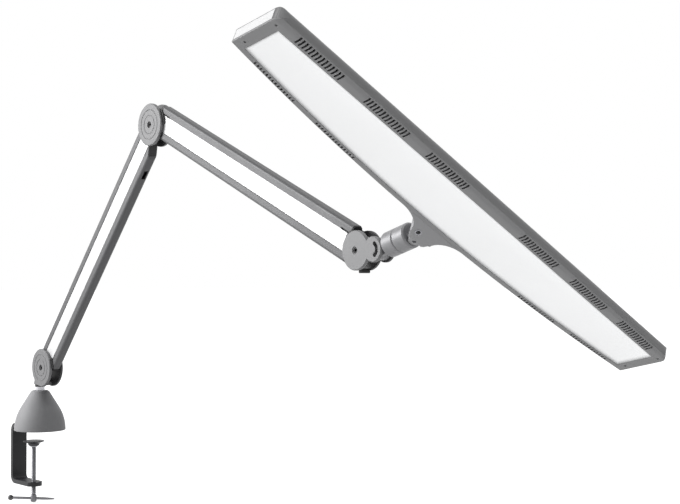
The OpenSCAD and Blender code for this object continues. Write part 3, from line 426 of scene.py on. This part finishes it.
# The clamp screw, with its thread and a chamfered lower end
THREAD_PITCH, THREAD_TURNS, THREAD_FROM = 0.001, 62, -0.0868
CORE_R, RIDGE_R = 0.0026, 0.00062
core = turned([(0.0021, -0.0985), (0.0040, -0.0972), (0.0040, -0.0895), (0.0034, -0.0885), (CORE_R, -0.0880),
               (CORE_R, -0.0225), (0.0022, -0.0220), (0.0022, -0.0210)], sides=48)
thread = wound(3, RIDGE_R, CORE_R, THREAD_PITCH, THREAD_TURNS, 24)
place(thread, at=(0, 0, THREAD_FROM))
screw = joined([core, thread])
place(screw, at=(SCREW_X, 0, 0))
finish_piece(screw, "threaded_screw", "screw", screw_steel, smooth=40)
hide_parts("clamp_screw")

# Joint bolts: a hex socket in the sunken front end and a domed head at the back
BOLT_FRONT_Y = -0.0086
for name, body, at in (("base", "fork", BASE), ("elbow", "elbow", ELBOW), ("shade", "bracket", SHADE)):
    bolt = turned([(0.0026, 0.0), (0.0030, 0.0004), (0.0030, 0.01855), (0.0056, 0.01856), (0.0056, 0.0194),
                   (0.0051, 0.0199), (0.0040, 0.0203)], sides=48)
    hex_socket(bolt, 0.003, 0.0, 0.0018)
    hex_socket(bolt, 0.004, 0.0203, 0.0015)
    place(bolt, at=at + Vector((0, BOLT_FRONT_Y, 0)), turn=ALONG_Y)
    finish_piece(bolt, name + "_socket_bolt", body, black_steel)
    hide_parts(name + "_bolt")

# Balance springs, wound from wire
WIRE, COIL_R, COIL_TURNS = 0.0007, 0.0035, 196
HOOK_ENDS = (-0.0145, 0.2933)
SPRING_FROM = Vector((0.0527, 0, -0.010))
spring_steel = bpy.data.materials["lower_spring"]
for part, way, start_at in (("lower", LOWER_WAY, BASE), ("upper", UPPER_WAY, UPPER_FROM)):
    coil = wound(6, WIRE, COIL_R - WIRE, 2 * WIRE + 0.0001, COIL_TURNS, 16)
    hooks = []
    for z in HOOK_ENDS:
        hook = turned([(0.0005, 0), (0.0006, 0.0003), (0.0006, 0.0160)], sides=12)
        place(hook, at=(0, 0.0029, z))
        hooks.append(hook)
    spring = joined([coil] + hooks)
    lie = Matrix(((0, 0, 1), (-1, 0, 0), (0, -1, 0)))
    place(spring, at=start_at + way @ SPRING_FROM, turn=way @ lie)
    finish_piece(spring, part + "_coil", part + "_arm", spring_steel)
    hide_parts(part + "_spring")

# Black arcs on the faces of the arms, which follow the edges of the joint discs: painted shade for the
# shadowed gap beside each disc
ARC_W, ARC_T, ARC_Y = 0.0021, 0.0014, 0.0065
AT_DISC, AT_LOBE = 0.0253, 0.0198
for name, body, way, pivot, radius, x, z in (
        ("base_dark_arcs", "lower_arm", LOWER_WAY, BASE, AT_DISC, (0, 0.04), (-0.0190, -0.0085)),
        ("elbow_low_dark_arcs", "lower_arm", LOWER_WAY, ELBOW, AT_DISC, (-0.04, 0), (0.0085, 0.0190)),
        ("elbow_up_dark_arcs", "upper_arm", UPPER_WAY, ELBOW, AT_DISC, (0, 0.04), (0.0100, 0.0235)),
        ("shade_dark_arcs", "upper_arm", UPPER_WAY, SHADE, AT_LOBE, (-0.04, 0), (0.0060, 0.0150))):
    dark_arcs = []
    for side in (-1, 1):
        outer = radius + ARC_W
        dark_arc = turned([(outer, -ARC_T / 2), (outer, ARC_T / 2 - 0.0002), (outer - 0.0002, ARC_T / 2),
                        (radius + 0.0002, ARC_T / 2)], sides=160)
        cut(dark_arc, round_bar(radius, 0.01, sides=160))
        place(dark_arc, at=(0, side * ARC_Y, 0), turn=Matrix.Rotation(math.radians(-90 * side), 3, "X"))
        cut(dark_arc, block(x, (-0.01, 0.01), z), "INTERSECT")
        dark_arcs.append(dark_arc)
    pair = joined(dark_arcs)
    place(pair, at=pivot, turn=way)
    finish_piece(pair, name, body, black_plastic)

# Pressure plate with turned grooves in its face
GROOVE_DEPTH = 0.0003
dished = [(0.0066, -0.0066), (0.0070, -0.0064), (0.0080, -0.0034), (0.0128, -0.0014), (0.0140, -0.0011),
          (0.0140, -0.0003), (0.0137, 0.0)]
grooves = []
for groove_r in (0.0119, 0.0082, 0.0045):
    grooves += [(groove_r, 0.0), (groove_r - 0.0002, -GROOVE_DEPTH), (groove_r - 0.0008, -GROOVE_DEPTH),
                (groove_r - 0.0010, 0.0)]
plate = turned(dished + grooves, sides=72)
place(plate, at=(SCREW_X, 0, PLATE_TOP))
finish_piece(plate, "grooved_plate", "pad", pad_steel)
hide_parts("pressure_plate")

# Bell-shaped cover, turned from its real curve
BELL_R, BELL_H, FLANK_R, CONE_Z, WALL, POST_HOLE_R = 0.0338, 0.053, 0.0587, 0.031, 0.002, 0.0063


def flank(height, inset):
    """Radius of the bell's curved side at a height."""
    if height <= CONE_Z:
        return BELL_R - FLANK_R + math.sqrt((FLANK_R - inset) ** 2 - height ** 2)
    lean = CONE_Z / math.sqrt(FLANK_R ** 2 - CONE_Z ** 2)
    return flank(CONE_Z, inset) - lean * (height - CONE_Z)


heights = [0.0006 + (BELL_H - 0.0024) * step / 40 for step in range(41)]
outside = [(flank(0, 0) - 0.0004, 0.0)] + [(flank(h, 0), h) for h in heights]
top_r = flank(BELL_H, 0)
outside += [(top_r - 0.0003, BELL_H - 0.0006), (top_r - 0.0014, BELL_H), (POST_HOLE_R + 0.0005, BELL_H),
            (POST_HOLE_R, BELL_H - 0.0005)]
inside = [(POST_HOLE_R, BELL_H - WALL)]
inside += [(flank(h, WALL), h) for h in reversed(heights) if h < BELL_H - WALL]
bell = turned(outside + inside + [(flank(0, WALL), 0.0)], sides=128)
bpy.ops.object.mode_set(mode="EDIT")
bpy.ops.mesh.select_all(action="DESELECT")
bpy.ops.object.mode_set(mode="OBJECT")
for face in bell.data.polygons:
    face.select = len(face.vertices) > 4
bpy.ops.object.mode_set(mode="EDIT")
bpy.ops.mesh.select_mode(type="FACE")
bpy.ops.mesh.delete(type="ONLY_FACE")
bpy.ops.mesh.select_mode(type="EDGE")
bpy.ops.mesh.select_non_manifold()
bpy.ops.mesh.bridge_edge_loops()
bpy.ops.mesh.select_mode(type="VERT")
bpy.ops.object.mode_set(mode="OBJECT")
BRACKET_NOTCH_HALF, BRACKET_NOTCH_TOP = 0.0108, 0.0058
cut(bell, block((-0.035, 0), (-BRACKET_NOTCH_HALF, BRACKET_NOTCH_HALF), (-0.001, BRACKET_NOTCH_TOP)))
finish_piece(bell, "bell_shell", "clamp", bell_coat, smooth=30)
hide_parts("bell_cover")

# Bolts of the head joint: the tilt bolt lies along Y, the head pin along the head's own Z
TILT_BOLT_FRONT_Y, PIN_FOOT_Z = -0.0084, -0.0092
tilt_bolt = turned([(0.0013, 0.0), (0.0016, 0.0003), (0.0016, 0.01846), (0.0036, 0.01847), (0.0036, 0.0194),
                    (0.0032, 0.0199), (0.0026, 0.0201)], sides=40)
hex_socket(tilt_bolt, 0.0025, 0.0201, 0.0012)
place(tilt_bolt, at=TILT + Vector((0, TILT_BOLT_FRONT_Y, 0)), turn=ALONG_Y)
finish_piece(tilt_bolt, "tilt_socket_bolt", "bracket", black_steel)
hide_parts("tilt_bolt")

pin = turned([(0.0016, 0.0), (0.0020, 0.0004), (0.0020, 0.01825), (0.0034, 0.01826), (0.0034, 0.0192),
              (0.0030, 0.0197), (0.0024, 0.0198)], sides=40)
hex_socket(pin, 0.0025, 0.0198, 0.0012)
place(pin, at=in_head(0, 0, PIN_FOOT_Z), turn=HEAD_TURN)
finish_piece(pin, "head_socket_pin", "swivel", bright_steel)
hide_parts("head_pin")

# Eyelet round the deep screw hole under the neck, lying on its slope
eyelet = turned([(0.0033, 0.0), (0.0033, 0.0003), (0.0030, 0.0005), (0.0025, 0.0005), (0.0022, 0.0003)],
                sides=48)
cut(eyelet, round_bar(0.00215, 0.004))
slope_out = Vector((0.304, 0, -0.953))
on_slope = Vector((0, 0, 1)).rotation_difference(slope_out).to_matrix()
place(eyelet, at=in_head(0.0105, -0.007, -0.00769), turn=HEAD_TURN @ on_slope)
finish_piece(eyelet, "neck_eyelet", "head", bright_steel)

# Underside frame of the head with its slots, and the opal dish that is sunk in its window
HEAD_HALF, HEAD_FRONT, HEAD_BACK, WINDOW_BACK, WINDOW_HALF = 0.2715, 0.0218, 0.0975, 0.0845, 0.2605
BOW_R, BACK_ROUND, CORNER_R, UNDERSIDE, FRAME_TOP, RIM_W = 2.034162, 0.0065, 0.010, -0.0038, -0.00145, 0.0052
SLOT_GROUPS = (-0.2195, -0.139, -0.0605, 0.069, 0.1455, 0.2215)
END_GROUPS = (0, 1, 4, 5)
SLOTS_IN_GROUP, SLOT_PITCH, SLOT_W = 14, 0.00377, 0.0019
BACK_SLOT_X = (0.0868, 0.0948)
FRONT_SLOT_INSET, FRONT_SLOT_LENGTH = 0.0008, 0.003
THROUGH = (-0.01, 0.01)
FRAME_BOW_SIDES, DISH_BOW_SIDES = 1600, 400


def bowed(back, half, inset, z, sides):
    """A block whose front edge follows the bow of the head."""
    piece = block((0.0, back), (-half, half), z)
    bow = round_bar(BOW_R, 0.1, (HEAD_FRONT + inset + BOW_R, 0, 0), sides, (0, 0, math.pi / sides))
    cut(piece, bow, "INTERSECT")
    return piece


slim = bowed(HEAD_BACK, HEAD_HALF, 0, (UNDERSIDE, FRAME_TOP), FRAME_BOW_SIDES)
edge_at = (HEAD_BACK - BACK_ROUND, 0, UNDERSIDE + BACK_ROUND)
waste = block((edge_at[0], HEAD_BACK + 0.001), (-0.3, 0.3), (-0.01, edge_at[2]))
cut(waste, round_bar(BACK_ROUND, 0.7, edge_at, 96, (math.pi / 2, 0, 0)))
cut(slim, waste)
for side in (-1, 1):
    corner = (HEAD_BACK - CORNER_R, side * (HEAD_HALF - CORNER_R), 0)
    reach = sorted((corner[1], side * (HEAD_HALF + 0.001)))
    waste = block((corner[0], HEAD_BACK + 0.001), reach, THROUGH)
    cut(waste, round_bar(CORNER_R, 0.03, corner, 96))
    cut(slim, waste)
cut(slim, bowed(WINDOW_BACK, WINDOW_HALF, RIM_W, THROUGH, FRAME_BOW_SIDES))
slots = []
for group, middle in enumerate(SLOT_GROUPS):
    for step in range(SLOTS_IN_GROUP):
        y = middle + SLOT_PITCH * (step - (SLOTS_IN_GROUP - 1) / 2)
        across_slot = (y - SLOT_W / 2, y + SLOT_W / 2)
        slots.append(block(BACK_SLOT_X, across_slot, (-0.01, 0.0)))
        if group in END_GROUPS:
            start = HEAD_FRONT + BOW_R - math.sqrt(BOW_R ** 2 - y ** 2) + FRONT_SLOT_INSET
            slots.append(block((start, start + FRONT_SLOT_LENGTH), across_slot, (-0.01, 0.0)))
cut(slim, joined(slots))
SCREW_HOLE_R, SCREW_HOLES_X, SCREW_HOLES_Y = 0.00124, (0.08775, 0.05), 0.26575
for side in (-1, 1):
    for x in SCREW_HOLES_X:
        cut(slim, round_bar(SCREW_HOLE_R, 0.02, (x, side * SCREW_HOLES_Y, 0), 32))
place(slim, at=PIN, turn=HEAD_TURN)
finish_piece(slim, "slotted_frame", "head", frame_coat, smooth=20)
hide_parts("under_frame")

# The dish: its border slopes up in steps of width and rise to the floor
PLAY = 0.0001
DISH_STEPS = ((0.0003, 0.0), (0.0009, 0.0008), (0.0012, 0.0005), (0.0018, 0.0004))
dish = bowed(WINDOW_BACK - PLAY, WINDOW_HALF - PLAY, RIM_W + PLAY, (-0.0036, FRAME_TOP), DISH_BOW_SIDES)
bpy.ops.object.mode_set(mode="EDIT")
bpy.ops.mesh.select_all(action="SELECT")
bpy.ops.mesh.remove_doubles(threshold=0.00002)
bpy.ops.mesh.dissolve_limited(angle_limit=math.radians(0.05))
bpy.ops.mesh.select_mode(type="FACE")
bpy.ops.mesh.select_all(action="DESELECT")
bpy.ops.object.mode_set(mode="OBJECT")
for face in dish.data.polygons:
    face.select = face.normal.z < -0.9
bpy.ops.object.mode_set(mode="EDIT")
for width, rise in DISH_STEPS:
    bpy.ops.mesh.inset(thickness=width, depth=0)
    bpy.ops.transform.translate(value=(0, 0, rise))
bpy.ops.mesh.select_mode(type="VERT")
bpy.ops.object.mode_set(mode="OBJECT")
place(dish, at=PIN, turn=HEAD_TURN)
finish_piece(dish, "opal_dish", "head", opal, smooth=40)
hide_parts("diffuser")

# Push button with a dished top and a raised rim
button = turned([(0.0065, 0.0), (0.0065, 0.0037), (0.0062, 0.0042), (0.0057, 0.0043), (0.0052, 0.0041),
                 (0.0036, 0.0036), (0.0018, 0.0034), (0.0004, 0.00335)], sides=64)
place(button, at=in_head(0.0785, -0.2115, 0.0074), turn=HEAD_TURN)
finish_piece(button, "dished_button", "button", button_plastic)
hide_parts("switch_button")

# Sliding bar with a tapered end, and the knob on its other end with a turned neck
BAR_TURN = math.radians(40)
along_bar = Matrix.Rotation(BAR_TURN, 3, "Z") @ Matrix.Rotation(math.radians(90), 3, "Y")
BAR_AT = Vector((SCREW_X, 0, -0.0935))
bar = turned([(0.0012, -0.03286), (0.0017, -0.0324), (0.0017, 0.01714), (0.00155, 0.0200), (0.0012, 0.0250),
              (0.00085, 0.02914)], sides=40)
place(bar, at=BAR_AT, turn=along_bar)
finish_piece(bar, "tapered_bar", "bar", screw_steel, smooth=25)
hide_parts("sliding_bar")

KNOB_R, KNOB_AT = 0.0037, -0.03286
ball_profile = []
for angle in range(16, 146, 8):
    turn = math.radians(angle)
    ball_profile.append((KNOB_R * math.sin(turn), KNOB_AT - KNOB_R * math.cos(turn)))
knob = turned(ball_profile + [(0.0019, -0.0292)], sides=48)
cut(knob, round_bar(0.00176, 0.009, (0, 0, -0.02846), 40))
place(knob, at=BAR_AT, turn=along_bar)
finish_piece(knob, "bar_knob", "bar", knob_plastic)
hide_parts("bar_ball")

# Floor and light
FLOOR_Z = -0.0992
bpy.ops.mesh.primitive_plane_add(size=60, location=(0, 0, FLOOR_Z))
floor = bpy.context.object
floor.name = "floor"
paper = surface("floor_paper", (0.3, 0.3, 0.3), 0.85, mottle=0.01, mottle_scale=3, bump=0.03)
floor.data.materials.append(paper)


def seen_directly(tree):
    """1 for camera, glossy and transmission rays, else 0."""
    ways = tree.nodes.new("ShaderNodeLightPath")
    seen = maths(tree, "MAXIMUM", ways.outputs["Is Camera Ray"], ways.outputs["Is Glossy Ray"])
    return maths(tree, "MAXIMUM", seen, ways.outputs["Is Transmission Ray"])


def backdrop_white(mat):
    """To the camera and in reflections the paper is white, and near the lamp it keeps the shadow."""
    tree = mat.node_tree
    out = next(node for node in tree.nodes if node.type == "OUTPUT_MATERIAL")
    plain = out.inputs[0].links[0].from_socket
    place_at = tree.nodes.new("ShaderNodeTexCoord").outputs["Object"]
    away = add(tree, "ShaderNodeVectorMath", i0=place_at)
    away.operation = "LENGTH"
    strength = ramp(tree, away.outputs["Value"], 0.5, 2.2, 0.72, 1.0)
    glow = add(tree, "ShaderNodeEmission", Color=(1, 1, 1, 1), Strength=strength)
    lit = add(tree, "ShaderNodeBsdfDiffuse", Color=(0.9, 0.9, 0.9, 1))
    both = add(tree, "ShaderNodeAddShader", i0=glow.outputs[0], i1=lit.outputs[0])
    pick = add(tree, "ShaderNodeMixShader", i0=seen_directly(tree), i1=plain, i2=both.outputs[0])
    tree.links.new(pick.outputs[0], out.inputs[0])


backdrop_white(paper)

world = bpy.data.worlds.new("studio")
bpy.context.scene.world = world
world.use_nodes = True
sky = world.node_tree
sky.nodes.clear()
seen = add(sky, "ShaderNodeBackground", Color=(1, 1, 1, 1), Strength=1.0)
fill = add(sky, "ShaderNodeBackground", Color=(0.98, 0.99, 1, 1), Strength=0.24)
pick = add(sky, "ShaderNodeMixShader", i0=seen_directly(sky), i1=fill.outputs[0], i2=seen.outputs[0])
sky.links.new(pick.outputs[0], sky.nodes.new("ShaderNodeOutputWorld").inputs[0])


def softbox(name, at, target, size, power):
    data = bpy.data.lights.new(name, "AREA")
    data.shape = "RECTANGLE"
    data.size, data.size_y = size
    data.energy = power
    lamp = bpy.data.objects.new(name, data)
    bpy.context.collection.objects.link(lamp)
    lamp.location = at
    lamp.rotation_mode = "QUATERNION"
    lamp.rotation_quaternion = (Vector(target) - Vector(at)).to_track_quat("-Z", "Y")


softbox("key", (-1.05, -1.6, 0.9), (0.35, 0, 0.2), (1.2, 1.2), 43)
softbox("top", (0.4, 0.3, 2.4), (0.4, 0, 0.2), (2.5, 2.5), 16)

camera_data = bpy.data.cameras.new("camera")
camera = bpy.data.objects.new("camera", camera_data)
bpy.context.collection.objects.link(camera)
bpy.context.scene.camera = camera
SENSOR, IMAGE_WIDTH_PX, FOCAL_PX = 36, 680, 1330.27
camera_data.sensor_width = SENSOR
camera_data.lens = FOCAL_PX * SENSOR / IMAGE_WIDTH_PX
camera_data.clip_start, camera_data.clip_end = 0.05, 200
right = Vector((0.64845983, 0.76124888, 0))
down = Vector((-0.015463, 0.01317195, -0.99979368))
ahead = Vector((-0.76109181, 0.64832603, 0.02031267))
CAMERA_AT = (1.62211, -0.85326, 0.20207)
looking = Matrix((right, -down, -ahead)).transposed().to_4x4()
camera.matrix_world = Matrix.Translation(CAMERA_AT) @ looking
bpy.context.scene.view_settings.view_transform = "Standard"
